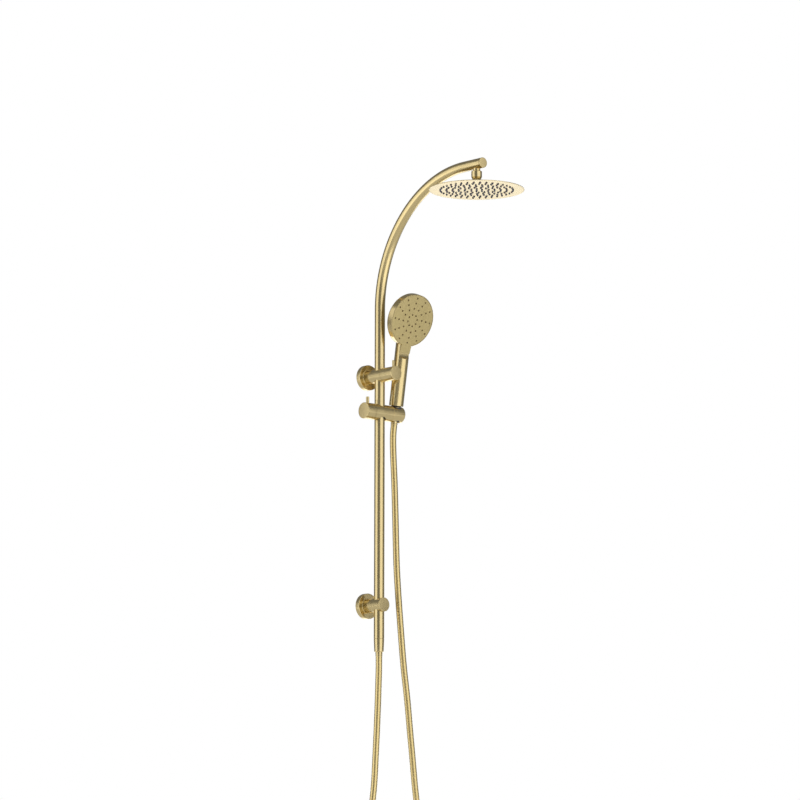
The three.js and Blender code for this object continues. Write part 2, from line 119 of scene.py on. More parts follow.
def linear(colour: str) -> tuple[float, float, float, float]:
    """Turns an sRGB colour of six hex digits to linear light, with an alpha of 1."""
    channels = [int(colour[i : i + 2], 16) / 255 for i in (0, 2, 4)]
    red, green, blue = (c / 12.92 if c <= 0.04045 else ((c + 0.055) / 1.055) ** 2.4 for c in channels)
    return red, green, blue, 1.0


def add_node(tree: Tree, kind: str, settings: dict[str, Any], links: dict[str, Socket]) -> bpy.types.Node:
    """Adds one node with its settings and its incoming links.

    Args:
        tree: the node tree it goes in.
        kind: the node's type name.
        settings: values of the node's properties, or of its inputs where no property has that name.
        links: the socket that feeds each named input.
    Returns:
        The new node.
    """
    node = tree.nodes.new(kind)
    for name, value in settings.items():
        if hasattr(node, name):
            setattr(node, name, value)
        else:
            node.inputs[name].default_value = value
    for name, socket in links.items():
        tree.links.new(socket, node.inputs[name])
    return node


def mixed(tree: Tree, share: Socket, first: Socket, second: Socket) -> Socket:
    """Returns the mix of two shaders, in which share is the part of the second."""
    mix = add_node(tree, "ShaderNodeMixShader", {}, {"Fac": share})
    tree.links.new(first, mix.inputs[1])
    tree.links.new(second, mix.inputs[2])
    return mix.outputs["Shader"]


@dataclass(frozen=True)
class Finish:
    """A surface finish: what it is made of and the marks that its making leaves.

    The pale and deep colours lie at the two ends of the grain, spacing is the distance between marks,
    relief is how deep they read, and cloud is how much broad patches change the gloss.
    """

    name: str
    pale: str
    deep: str
    pattern: Pattern
    metallic: float
    roughness: tuple[float, float]
    spacing_mm: float
    relief: float
    cloud: float = 0.03
    coat: float = 0.0
    subsurface: float = 0.0

    LINE_STRETCH: ClassVar[float] = 45.0  # length of a brushed line over its width
    CLOUD_MM: ClassVar[float] = 28.0
    LINES_PER_TURN: ClassVar[float] = 5.0

    def _grain(self, tree: Tree, where: bpy.types.Node) -> Socket:
        """Adds the grain of the pattern and returns its factor."""
        fine = 1 / (self.spacing_mm * MM)
        if self.pattern is Pattern.TURNED:
            source = add_node(tree, "ShaderNodeUVMap", {"uv_map": WRAP}, {}).outputs["UV"]
            scale = (self.LINES_PER_TURN, fine, 1.0)
        else:
            source = where.outputs["Object"]
            long = fine / self.LINE_STRETCH if self.pattern is Pattern.STRAIGHT else fine
            scale = (fine, long, long)
        mapping = add_node(tree, "ShaderNodeMapping", {"Scale": scale}, {"Vector": source})
        settings = {"Scale": 1.0, "Detail": 3.0, "Roughness": 0.6}
        noise = add_node(tree, "ShaderNodeTexNoise", settings, {"Vector": mapping.outputs["Vector"]})
        return noise.outputs["Fac"]

    def _ranged(self, tree: Tree, low: float, high: float, noise: Socket) -> Socket:
        """Spreads the middle of a noise from low to high and returns the result."""
        settings = {"From Min": 0.3, "From Max": 0.7, "To Min": low, "To Max": high}
        return add_node(tree, "ShaderNodeMapRange", settings, {"Value": noise}).outputs["Result"]

    def material(self) -> bpy.types.Material:
        """Returns the finish's material, made on its first use."""
        known = bpy.data.materials.get(self.name)
        if known:
            return known
        material = bpy.data.materials.new(self.name)
        material.use_nodes = True
        tree = material.node_tree
        shader = tree.nodes["Principled BSDF"]
        where = add_node(tree, "ShaderNodeTexCoord", {}, {})
        grain = self._grain(tree, where)
        broad = {"Scale": 1 / (self.CLOUD_MM * MM), "Detail": 2.0}
        cloud = add_node(tree, "ShaderNodeTexNoise", broad, {"Vector": where.outputs["Object"]})
        tint = add_node(tree, "ShaderNodeMix", {"data_type": "RGBA"}, {"Factor": grain})
        tint.inputs["A"].default_value = linear(self.deep)
        tint.inputs["B"].default_value = linear(self.pale)
        gloss = self._ranged(tree, *self.roughness, grain)
        patches = self._ranged(tree, -self.cloud, self.cloud, cloud.outputs["Fac"])
        rough = add_node(tree, "ShaderNodeMath", {"operation": "ADD"}, {})
        tree.links.new(gloss, rough.inputs[0])
        tree.links.new(patches, rough.inputs[1])
        marks = {"Strength": self.relief, "Distance": 0.05 * self.spacing_mm * MM}
        bump = add_node(tree, "ShaderNodeBump", marks, {"Height": grain})
        tree.links.new(tint.outputs["Result"], shader.inputs["Base Color"])
        tree.links.new(rough.outputs["Value"], shader.inputs["Roughness"])
        tree.links.new(bump.outputs["Normal"], shader.inputs["Normal"])
        shader.inputs["Metallic"].default_value = self.metallic
        shader.inputs["Coat Weight"].default_value = self.coat
        shader.inputs["Subsurface Weight"].default_value = self.subsurface
        return material


# Brass brushed with a fine belt and then coated with gold by PVD: long soft streaks of light and a
# satin edge, with faint lines round each piece. The real lines are about 0.1 mm apart and are drawn
# 0.8 mm apart, which is as fine as shows.
TURNED_GOLD = Finish(
    "pvd_brushed_gold_turned", "E4D09C", "D2BD88", Pattern.TURNED, 1.0, (0.18, 0.26), 0.8, 0.07
)
# The same coating on stainless sheet that was brushed flat before it was pressed and drilled.
SHEET_GOLD = Finish(
    "pvd_brushed_gold_sheet", "E6D4A6", "D6C392", Pattern.TURNED, 1.0, (0.20, 0.28), 0.9, 0.08
)
# Moulded ABS with plated metal and a brushed gold top coat: softer streaks than solid metal gives.
PLATED_GOLD = Finish(
    "plated_abs_gold_turned", "E2CE9A", "D0BB86", Pattern.TURNED, 1.0, (0.20, 0.28), 0.9, 0.07
)
# The flat spray face, brushed up its length: an even matt gold with short streaks.
FACE_GOLD = Finish(
    "plated_abs_gold_face", "D6C590", "BBA874", Pattern.STRAIGHT, 1.0, (0.34, 0.46), 0.9, 0.35
)
# PVC hose with a gold metallised film under its clear ribs: bright crests and dark grooves.
HOSE_GOLD = Finish(
    "metallised_pvc_rib", "E0CB92", "CDB679", Pattern.CAST, 0.95, (0.18, 0.26), 1.5, 0.05, coat=0.3
)
# Brass as it comes off the lathe: yellow, with clear turning lines.
MACHINED_BRASS = Finish("machined_brass", "D8B96A", "B08D3F", Pattern.CAST, 1.0, (0.25, 0.4), 0.5, 0.2)
# Stainless steel, turned and tumbled: grey and satin.
TUMBLED_STEEL = Finish("tumbled_stainless", "B9BABC", "8E9092", Pattern.CAST, 1.0, (0.28, 0.42), 0.6, 0.2)
# EPDM seals, moulded: black and matt, with a bloom.
EPDM = Finish("moulded_epdm", "2C2C30", "17171A", Pattern.CAST, 0.0, (0.6, 0.78), 0.4, 0.15)
# Acetal bushes, moulded: blue-black with a slight waxy gloss.
ACETAL = Finish("moulded_acetal", "2E313C", "1E2029", Pattern.CAST, 0.0, (0.36, 0.46), 0.7, 0.1)
# Nylon ball seat, moulded: off-white and waxy.
NYLON = Finish(
    "moulded_nylon", "E6E3D8", "D2CEC0", Pattern.CAST, 0.0, (0.42, 0.55), 0.7, 0.1, subsurface=0.05
)
# Glass-filled cartridge housing, moulded: mid grey with a fine speckle.
GLASS_FILLED = Finish("moulded_glass_filled_pa", "787B80", "55585D", Pattern.CAST, 0.0, (0.5, 0.65), 0.3, 0.2)
# Silicone nozzles of the rain head, moulded: dark blue-grey, soft and slightly glossy at the tips.
GREY_SILICONE = Finish(
    "moulded_grey_silicone", "4A4E5C", "343845", Pattern.CAST, 0.0, (0.4, 0.52), 0.5, 0.1, subsurface=0.03
)
# Silicone nozzles of the hand shower, moulded: brown, set in the gold face.
BROWN_SILICONE = Finish(
    "moulded_brown_silicone", "7A6338", "5C4826", Pattern.CAST, 0.0, (0.4, 0.52), 0.5, 0.1, subsurface=0.03
)

# What a kept CAD part is dressed in. They have no wrap map, so their gold is the flat-brushed one.
FINISH_OF_SLOT: dict[Slot, Finish] = {
    Slot.GOLD: FACE_GOLD,
    Slot.BRASS: MACHINED_BRASS,
    Slot.STEEL: TUMBLED_STEEL,
    Slot.RUBBER: EPDM,
    Slot.ACETAL: ACETAL,
    Slot.NYLON: NYLON,
    Slot.CARTRIDGE: GLASS_FILLED,
    Slot.GREY_SILICONE: GREY_SILICONE,
    Slot.BROWN_SILICONE: BROWN_SILICONE,
    Slot.PLATED: FACE_GOLD,
    Slot.PLATED_FACE: FACE_GOLD,
    Slot.SHEET: FACE_GOLD,
    Slot.HOSE: HOSE_GOLD,
}


# ---- modelling


def clear_selection() -> None:
    """Leaves edit mode and deselects every object."""
    if bpy.context.mode != "OBJECT":
        bpy.ops.object.mode_set(mode="OBJECT")
    bpy.ops.object.select_all(action="DESELECT")


def activate(piece: Piece) -> None:
    """Selects the piece alone and makes it the active one."""
    clear_selection()
    bpy.context.view_layer.objects.active = piece
    piece.select_set(True)


def face_outward(piece: Piece) -> None:
    """Turns the faces of a closed mesh outward."""
    activate(piece)
    bpy.ops.object.mode_set(mode="EDIT")
    bpy.ops.mesh.select_all(action="SELECT")
    bpy.ops.mesh.normals_make_consistent(inside=False)
    bpy.ops.object.mode_set(mode="OBJECT")


def settle(name: str) -> Piece:
    """Names the active object, moves its place, turn and scale into its mesh, and returns it."""
    if bpy.context.mode != "OBJECT":
        bpy.ops.object.mode_set(mode="OBJECT")
    piece = bpy.context.object
    piece.name = name
    bpy.ops.object.transform_apply(location=True, rotation=True, scale=True)
    return piece


def apply_modifier(piece: Piece, kind: str, settings: dict[str, Any]) -> None:
    """Adds a modifier of a kind to the piece, sets its properties and applies it."""
    activate(piece)
    modifier = piece.modifiers.new(kind.lower(), kind)
    for name, value in settings.items():
        setattr(modifier, name, value)
    bpy.ops.object.modifier_apply(modifier=modifier.name)


def soften(piece: Piece, bevel_mm: float = 0.25, angle: float = 40.0) -> Piece:
    """Rounds the sharp edges and smooths the shading.

    Args:
        piece: the mesh object.
        bevel_mm: width of the rounding, or 0 for none.
        angle: the angle in degrees above which an edge stays sharp.
    Returns:
        The piece.
    """
    if bevel_mm:
        rounding = {"width": bevel_mm * MM, "segments": 3, "use_clamp_overlap": True}
        limit = {"limit_method": "ANGLE", "angle_limit": math.radians(35)}
        apply_modifier(piece, "BEVEL", rounding | limit)
    activate(piece)
    if piece.data.has_custom_normals:
        bpy.ops.mesh.customdata_custom_splitnormals_clear()
    bpy.ops.object.shade_smooth_by_angle(angle=math.radians(angle))
    apply_modifier(piece, "WEIGHTED_NORMAL", {"keep_sharp": True, "weight": 50})
    return piece


def unrolled(piece: Piece, where: Unroll) -> Piece:
    """Gives a round piece its wrap map.

    Args:
        piece: the mesh object.
        where: turns a point into turns about the axis and metres along it.
    Returns:
        The piece.
    """
    vertices = piece.data.vertices
    spots = [where(v.co) for v in vertices]
    layer = piece.data.uv_layers.new(name=WRAP)
    for polygon in piece.data.polygons:
        first = spots[polygon.vertices[0]][0]
        for loop, vertex in zip(polygon.loop_indices, polygon.vertices):
            turn, along = spots[vertex]
            layer.data[loop].uv = (turn + round(first - turn), along)
    return piece


def about(place: Vector, axis: Vector) -> Unroll:
    """Returns the unrolling of a straight round piece, whose lines are rings on its ends too."""
    side = axis.orthogonal().normalized()
    other = axis.cross(side)

    def where(point: Vector) -> tuple[float, float]:
        """Unrolls one point."""
        away = point - place
        x, y = away.dot(side), away.dot(other)
        return math.atan2(y, x) / math.tau, away.dot(axis) - math.hypot(x, y)

    return where


def spun(
    name: str, profile: Profile, place: Vector, axis: Vector, steps: int = MEDIUM, bevel_mm: float = 0.25
) -> Piece:
    """Makes a round piece: a point is extruded along the profile, and the outline is spun about the axis.

    Args:
        name: the piece's name.
        profile: radius and height in millimetres, closed on itself or ending on the axis.
        place: the profile's zero, in metres.
        axis: unit direction of the heights.
        steps: faces round the piece.
        bevel_mm: rounding of its edges, or CUTTER.
    Returns:
        The piece.
    """
    side = axis.orthogonal().normalized()
    spots = [place + side * (radius * MM) + axis * (height * MM) for radius, height in profile]
    clear_selection()
    bpy.ops.mesh.primitive_plane_add(size=MM, location=spots[0])
    bpy.ops.object.mode_set(mode="EDIT")
    bpy.ops.mesh.select_all(action="SELECT")
    bpy.ops.mesh.merge(type="CENTER")
    for before, after in zip(spots, spots[1:]):
        bpy.ops.mesh.extrude_vertices_move(TRANSFORM_OT_translate={"value": after - before})
    bpy.ops.mesh.select_all(action="SELECT")
    bpy.ops.mesh.spin(steps=steps, angle=math.tau, center=place, axis=axis)
    bpy.ops.mesh.select_all(action="SELECT")
    bpy.ops.mesh.remove_doubles(threshold=WELD)
    bpy.ops.mesh.dissolve_degenerate(threshold=WELD)
    bpy.ops.mesh.select_all(action="SELECT")
    bpy.ops.mesh.normals_make_consistent(inside=False)
    piece = settle(name)
    if bevel_mm >= 0:
        soften(piece, bevel_mm)
    return unrolled(piece, about(place, axis))


def closed(outline: Profile) -> list[tuple[float, float]]:
    """Returns the outline closed on its first point."""
    return [*outline, outline[0]]


def rod(radius: float, low: float, high: float) -> list[tuple[float, float]]:
    """Returns the profile of a plain round bar."""
    return [(0, low), (radius, low), (radius, high), (0, high)]


def ring(inner: float, outer: float, low: float, high: float) -> list[tuple[float, float]]:
    """Returns the profile of a ring or tube."""
    return closed([(outer, low), (outer, high), (inner, high), (inner, low)])


def block(name: str, centre: Vector, size: Vector, turn: float) -> Piece:
    """Returns a cutting block with its middle and edges in metres, turned about X in radians."""
    clear_selection()
    bpy.ops.mesh.primitive_cube_add(size=1, location=centre, rotation=(turn, 0, 0), scale=size)
    return settle(name)


def cut(piece: Piece, *cutters: Piece, operation: str = "DIFFERENCE") -> Piece:
    """Cuts the piece by other shapes, or joins them to it, and removes them.

    Args:
        piece: the piece that stays.
        cutters: closed shapes.
        operation: DIFFERENCE or UNION.
    Returns:
        The piece.
    """
    for cutter in cutters:
        settings = {"operation": operation, "object": cutter, "solver": "EXACT"}
        apply_modifier(piece, "BOOLEAN", settings)
        bpy.data.objects.remove(cutter, do_unlink=True)
    return piece


def copies(model: Piece, offsets: Sequence[Vector]) -> Piece:
    """Repeats a small shape, each copy with its own mesh, and joins the copies into one piece.

    Args:
        model: the shape, which becomes the first copy.
        offsets: how far each copy lies from the model.
    Returns:
        The joined piece.
    """
    made = []
    for offset in offsets:
        copy = model.copy()
        copy.data = model.data.copy()
        copy.data.transform(Matrix.Translation(offset))
        bpy.context.scene.collection.objects.link(copy)
        made.append(copy)
    bpy.data.objects.remove(model, do_unlink=True)
    return joined(made[0], made[1:])


def joined(piece: Piece, others: Sequence[Piece]) -> Piece:
    """Joins other objects into the piece and returns it."""
    clear_selection()
    for other in [*others, piece]:
        other.select_set(True)
    bpy.context.view_layer.objects.active = piece
    bpy.ops.object.join()
    return piece


def present(piece: Piece, body: str, finish: Finish, slot: Slot, *nodes: str) -> None:
    """Dresses a piece, ties it to its body and hides the CAD nodes that it stands for.

    Args:
        piece: the finished mesh object.
        body: the body it rides on.
        finish: its finish.
        slot: the record's slot; not used.
        nodes: the CAD nodes it replaces.
    """
    piece.data.materials.clear()
    piece.data.materials.append(finish.material())
    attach(piece, body)
    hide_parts(*nodes)
    log.info("%s on %s, %d faces", piece.name, body, len(piece.data.polygons))


def gold(piece: Piece, body: str, node: str) -> None:
    """Presents a piece of turned brass with the gold coating."""
    present(piece, body, TURNED_GOLD, Slot.GOLD, node)


# ---- studio


@dataclass
class Studio:
    """Camera, floor and soft panels of light round the column."""

    target: Vector = field(default_factory=lambda: at(0, -45, 438.9))
    azimuth: float = 41.0  # of the camera, to the left of straight ahead
    drop: float = 8.94  # the camera looks up by this angle
    distance: float = 8.5
    roll: float = 0.17
    lens: float = 179.4
    shift: float = 0.0254
    floor_height: float = -1.3
    floor_unmirrored: float = 0.55  # the share of the floor that the metal does not mirror

    def direction(self, turn: float, rise: float) -> Vector:
        """Returns the direction that lies turn degrees right of the camera and rise degrees up."""
        a, e = math.radians(turn - self.azimuth), math.radians(rise)
        return Vector((math.sin(a) * math.cos(e), -math.cos(a) * math.cos(e), math.sin(e)))

    def add_camera(self) -> None:
        """Adds the camera and makes it the scene's."""
        back = self.direction(0, -self.drop)
        right = UP.cross(back).normalized()
        above = back.cross(right)
        c, s = math.cos(math.radians(self.roll)), math.sin(math.radians(self.roll))
        turned = Matrix((right * c + above * s, above * c - right * s, back)).transposed()
        camera = bpy.data.objects.new("camera", bpy.data.cameras.new("camera"))
        camera.matrix_world = Matrix.Translation(self.target + back * self.distance) @ turned.to_4x4()
        camera.data.lens = self.lens
        camera.data.shift_x = self.shift
        camera.data.clip_end = 100
        bpy.context.scene.collection.objects.link(camera)
        bpy.context.scene.camera = camera

    def add_panel(
        self, name: str, turn: float, rise: float, away: float, size: tuple[float, float], glow: float
    ) -> None:
        """Adds a soft panel that faces the column.

        Args:
            name: its name.
            turn: degrees right of the camera.
            rise: degrees above level.
            away: its distance in metres.
            size: its width and height in metres.
            glow: its brightness as seen in a mirror.
        """
        light = bpy.data.lights.new(name, "AREA")
        light.shape = "RECTANGLE"
        light.size, light.size_y = size
        light.energy = glow * math.pi * size[0] * size[1]
        panel = bpy.data.objects.new(name, light)
        toward = self.direction(turn, rise)
        panel.location = self.target + toward * away
        panel.rotation_euler = toward.to_track_quat("Z", "Y").to_euler()
        panel.visible_camera = False
        bpy.context.scene.collection.objects.link(panel)

    def add_world(self) -> None:
        """Adds a white surround that gives the metal only a dim one to mirror."""
        world = bpy.data.worlds.new("white_room")
        world.use_nodes = True
        tree = world.node_tree
        tree.nodes.clear()
        sight = add_node(tree, "ShaderNodeLightPath", {}, {})
        white = add_node(tree, "ShaderNodeBackground", {"Color": (1, 1, 1, 1), "Strength": 1.0}, {})
        dim = add_node(tree, "ShaderNodeBackground", {"Color": (0.96, 0.98, 1, 1), "Strength": 0.22}, {})
        room = mixed(
            tree, sight.outputs["Is Glossy Ray"], white.outputs["Background"], dim.outputs["Background"]
        )
        add_node(tree, "ShaderNodeOutputWorld", {}, {"Surface": room})
        bpy.context.scene.world = world

    def add_floor(self) -> None:
        """Adds the pale floor, a little below the camera, of which the metal mirrors only a part."""
        clear_selection()
        bpy.ops.mesh.primitive_plane_add(size=24, location=(0, 0, self.floor_height))
        floor = settle("floor")
        paint = bpy.data.materials.new("pale_floor_paint")
        paint.use_nodes = True
        tree = paint.node_tree
        shader = tree.nodes["Principled BSDF"]
        shader.inputs["Base Color"].default_value = linear("F0F0EE")
        shader.inputs["Roughness"].default_value = 0.9
        sight = add_node(tree, "ShaderNodeLightPath", {}, {})
        clear = add_node(tree, "ShaderNodeBsdfTransparent", {}, {})
        most, mirrored = {"To Max": self.floor_unmirrored}, {"Value": sight.outputs["Is Glossy Ray"]}
        share = add_node(tree, "ShaderNodeMapRange", most, mirrored).outputs["Result"]
        surface = mixed(tree, share, shader.outputs["BSDF"], clear.outputs["BSDF"])
        tree.links.new(surface, tree.nodes["Material Output"].inputs["Surface"])
        floor.data.materials.append(paint)

    def build(self) -> None:
        """Sets up the camera, the light and the floor."""
        self.add_camera()
        self.add_world()
        self.add_panel("left_panel", -70, 6, 3.0, (3.05, 4.6), 1.0)
        self.add_panel("right_panel", 48, 3, 3.0, (3.7, 5.0), 1.0)
        self.add_panel("top_panel", 20, 80, 3.0, (2.4, 2.4), 0.8)
        self.add_panel("low_back_panel", 180, -24, 3.4, (4.4, 2.0), 1.5)
        self.add_floor()
        bpy.context.scene.view_settings.view_transform = "Standard"


# ---- hose


@dataclass
class HoseEnd:
    """A conical nut and the crimped ferrule that holds the hose in it."""

    owner: str
    body: str
    mouth: Vector
    axis: Vector
    length: float = 28.0
    mouth_radius: float = 11.0
    tail_radius: float = 9.9
    ferrule_radius: float = 7.35

    def build(self) -> list[Piece]:
        """Returns the nut and the ferrule, and the CAD washer between them."""
        tail, bore, shoulder = -self.length, self.ferrule_radius + GAP, -17.0
        wide, narrow, outer = self.mouth_radius, self.tail_radius, self.ferrule_radius
        cone = [
            (bore, tail), (narrow - 1.3, tail), (narrow - 0.35, tail + 0.5), (narrow, tail + 1.6),
            (wide, -0.6), (wide, 0), (8.5, 0), (8.5, shoulder), (bore, shoulder),
        ]
        nut = spun(f"{self.owner}_nut_fine", closed(cone), self.mouth, self.axis)
        low, groove, top = tail - 9.8, outer - 0.35, shoulder - 0.4
        sleeve = [
            (6.9, low), (outer, low + 0.5), (outer, low + 2.4), (groove, low + 2.8), (groove, low + 3.4),
            (outer, low + 3.8), (outer, top), (5, top), (5, low),
        ]
        ferrule = spun(f"{self.owner}_ferrule_fine", closed(sleeve), self.mouth, self.axis)
        gold(nut, self.body, f"{self.owner}_hose_nut")
        gold(ferrule, self.body, f"{self.owner}_hose_ferrule")
        return [nut, ferrule, frame["nodes"][f"{self.owner}_hose_washer"]]


@dataclass
class Hose:
    """The ribbed hose: down from the rail's outlet, round in a free loop and up to the holder.

    It is one hose, made in stretches that are cut at the bottom of the loop and at the heights where it
    passes from one body to the next.
    """

    diameter: float = 14.0
    groove: float = 0.25
    pitch: float = 3.0
    sides: int = 16
    steps: int = 60  # between two points of the route
    route: tuple[tuple[float, float, float], ...] = (
        (0, -45, -109.3), (0, -45, -135), (-1, -45, -166), (-2.2, -45, -200), (-5, -45, -260),
        (-8.5, -45, -320), (-12.4, -45, -380), (-19, -45, -432), (-22.2, -45, -467), (-23, -45, -502),
        (-13.9, -45, -536), (11, -45, -560.9), (45, -45, -570), (79, -45, -560.9), (103.9, -45, -536),
        (113, -45, -502), (112.2, -45, -467), (109.5, -45, -432), (101.5, -45, -375), (95, -45, -320),
        (88, -44.5, -260), (81.3, -44, -200), (70.9, -43, -122), (62.5, -42, -36), (57.1, -41, 29),
        (54.2, -39.5, 85), (53.3, -38, 137), (53, -36, 200), (51.6, -34.6, 266), (47.6, -35, 331),
        (45, -37.4, 366), (44, -41.4, 390.4),
    )
    lowest: int = 12  # the route's point at the bottom of the loop
    leaves_bush: float = 20.0  # heights at which the hose passes from one moving body to the next
    leaves_slider: float = 285.0
    leaves_cradle: float = 366.0

    def line(self) -> list[Vector]:
        """Returns close points along the centripetal Catmull-Rom curve through the route."""
        points = [at(*p) for p in self.route]
        points = [2 * points[0] - points[1], *points, 2 * points[-1] - points[-2]]
        line = []
        for a, b, c, d in zip(points, points[1:], points[2:], points[3:]):
            ab, bc, cd = ((q - p).length ** 0.5 for p, q in ((a, b), (b, c), (c, d)))
            leave = ((b - a) / ab - (c - a) / (ab + bc) + (c - b) / bc) * bc
            reach = ((c - b) / bc - (d - b) / (bc + cd) + (d - c) / cd) * bc
            for i in range(self.steps):
                t = i / self.steps
                line.append(
                    b + leave * t + (3 * (c - b) - 2 * leave - reach) * t**2
                    + (2 * (b - c) + leave + reach) * t**3
                )
        return [*line, points[-2]]

    def rings(self) -> tuple[list[Vector], list[float], int]:
        """Returns the ring centres, their radii and the number of the ring at the loop's bottom."""
        line = self.line()
        along = [0.0]
        for a, b in zip(line, line[1:]):
            along.append(along[-1] + (b - a).length)
        crest, valley = self.diameter / 2 * MM, (self.diameter / 2 - self.groove) * MM
        rib = ((0.0, crest), (0.3, crest), (0.52, valley), (0.8, valley))
        centres, radii, bottom, k = [], [], 0, 0
        ribs = round(along[-1] / (self.pitch * MM))
        for i in range(ribs * len(rib) + 1):
            part, radius = rib[i % len(rib)]
            reached = (i // len(rib) + part) * along[-1] / ribs
            while k < len(line) - 2 and along[k + 1] < reached:
                k += 1
            centres.append(line[k].lerp(line[k + 1], (reached - along[k]) / (along[k + 1] - along[k])))
            radii.append(radius)
            if reached <= along[self.lowest * self.steps]:
                bottom = i
        return centres, radii, bottom

    def mark(self, centres: list[Vector], bottom: int, height: float) -> int:
        """Returns the number of the first ring of the rising side at a height in millimetres."""
        return next(i for i in range(bottom, len(centres)) if centres[i].z >= height * MM)

    def tube(self, name: str, centres: list[Vector], radii: list[float]) -> Piece:
        """Makes a closed tube through rings.

        Args:
            name: its name.
            centres: the ring centres.
            radii: a radius for each ring.
        Returns:
            The tube.
        """
        vertices, faces = [], []
        for i, (centre, radius) in enumerate(zip(centres, radii)):
            ahead = (centres[min(i + 1, len(centres) - 1)] - centres[max(i - 1, 0)]).normalized()
            side = ahead.cross(OUT).normalized()
            front = side.cross(ahead)
            for k in range(self.sides):
                turn = math.tau * k / self.sides
                vertices.append(centre + (side * math.cos(turn) + front * math.sin(turn)) * radius)
        for i in range(len(centres) - 1):
            for k in range(self.sides):
                low, nxt = i * self.sides, (k + 1) % self.sides
                faces.append((low + k, low + self.sides + k, low + self.sides + nxt, low + nxt))
        last = (len(centres) - 1) * self.sides
        faces.append(tuple(range(self.sides)))
        faces.append(tuple(last + k for k in reversed(range(self.sides))))
        mesh = bpy.data.meshes.new(name)
        mesh.from_pydata(vertices, [], faces)
        hose = bpy.data.objects.new(name, mesh)
        bpy.context.scene.collection.objects.link(hose)
        face_outward(hose)
        bpy.ops.object.shade_smooth_by_angle(angle=math.radians(60))
        mesh.materials.append(HOSE_GOLD.material())
        log.info("%s, %d faces", name, len(mesh.polygons))
        return hose

    def build(self, rail_end: HoseEnd, handset_end: HoseEnd) -> None:
        """Args:
            rail_end: the fittings under the rail.
            handset_end: the fittings in the holder.
        """
        centres, radii, bottom = self.rings()
        last = len(centres) - 1
        heights = (self.leaves_bush, self.leaves_slider, self.leaves_cradle)
        marks = [self.mark(centres, bottom, height) for height in heights]
        names = ["hose_to_slider", "hose_to_cradle", "hose_to_nut"]
        bodies = ["bush", "slider", "cradle", "swivel_nut_end"]
        pieces = []
        for name, low, high, a, b in zip(names, marks, [*marks[1:], last], bodies, bodies[1:]):
            piece = self.tube(name, centres[low : high + 1], radii[low : high + 1])
            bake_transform(piece)
            pieces.append(piece)
        rail_side = self.tube("hose_rail_side", centres[: bottom + 1], radii[: bottom + 1])
        free_side = self.tube("hose_free_side", centres[bottom : marks[0] + 1], radii[bottom : marks[0] + 1])
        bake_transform(rail_side)
        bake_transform(free_side)
        stretches = [
            (rail_side, centres[: bottom + 1], "object", rail_end.build()),
            (free_side, centres[bottom : marks[0] + 1], "object", []),
            (pieces[0], centres[marks[0] : marks[1] + 1], "fitting", [*pieces[1:], *handset_end.build()]),
        ]
        for piece in (rail_side, free_side, *pieces):
            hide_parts("shower_hose")
        for hose, path, far_end, pieces_on_it in stretches:
            tuple(path[0])
            round(sum((b - a).length for a, b in zip(path, path[1:])), 3)
            [tuple(p) for p in path]
            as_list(pieces_on_it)


# ---- brackets and rail


@dataclass
class Brackets:
    """The two wall brackets, the upper one with the diverter and its knob."""

    radius: float = 15.0
    flange_radius: float = 27.2
    flange_depth: float = 11.0
    flange_wall: float = 2.2
    lower_arm: tuple[float, float] = (6.3, 58.2)
    diverter: tuple[float, float] = (8.5, 61.7)
    knob_end: float = 98.3
    lever_from_wall: float = 89.0

    def flange(self, name: str, height: float) -> Piece:
        """Returns a wall flange: a cup with a rounded rim and a raised lip round the arm."""
        r, d, mouth = self.flange_radius, self.flange_depth, self.radius + GAP
        lip, wall = mouth + 2.2, self.flange_wall
        outline = [
            (r, 0), (r, d - 0.9), (r - 0.25, d - 0.3), (r - 0.9, d), (lip + 0.5, d), (lip, d + 0.4),
            (lip, d + 1.4), (mouth, d + 1.4), (mouth, d - wall), (r - wall, d - wall), (r - wall, 0),
        ]
        return spun(name, closed(outline), at(0, 0, height), OUT, FINE, 0.2)

    def arm(self, name: str, span: tuple[float, float], height: float) -> Piece:
        """Returns a bracket arm with the hole that the rail stands in."""
        arm = spun(name, rod(self.radius, *span), at(0, 0, height), OUT, FINE)
        stand = at(0, -RAIL_FROM_WALL, height)
        hole = spun("hole", rod(Rail.radius + GAP, -25, 25), stand, UP, FINE, CUTTER)
        return soften(cut(arm, hole), 0)

    def build(self) -> None:
        """Builds both brackets."""
        r = self.radius
        gold(self.flange("lower_flange_fine", 0), "column", "lower_flange")
        gold(self.arm("lower_arm_fine", self.lower_arm, 0), "column", "lower_bracket_arm")
        cap = spun("lower_cap_fine", rod(r, 0, 3), at(0, -self.lower_arm[1] - GAP, 0), OUT, FINE, 0.6)
        gold(cap, "column", "lower_arm_cap")
        top = BRACKET_SPACING
        gold(self.flange("upper_flange_fine", top), "column", "upper_flange")
        gold(self.arm("diverter_body_fine", self.diverter, top), "column", "diverter_body")
        start = self.diverter[1] + GAP
        knob = spun("diverter_knob_fine", rod(r, start, self.knob_end), at(0, 0, top), OUT, FINE, 0.6)
        gold(knob, "diverter_control", "diverter_knob")
        foot = at(0, -self.lever_from_wall, top)
        pin = spun("diverter_pin_fine", rod(2.75, 6.5, 28.4), foot, UP, COARSE, 0.5)
        gold(pin, "diverter_control", "diverter_lever_pin")


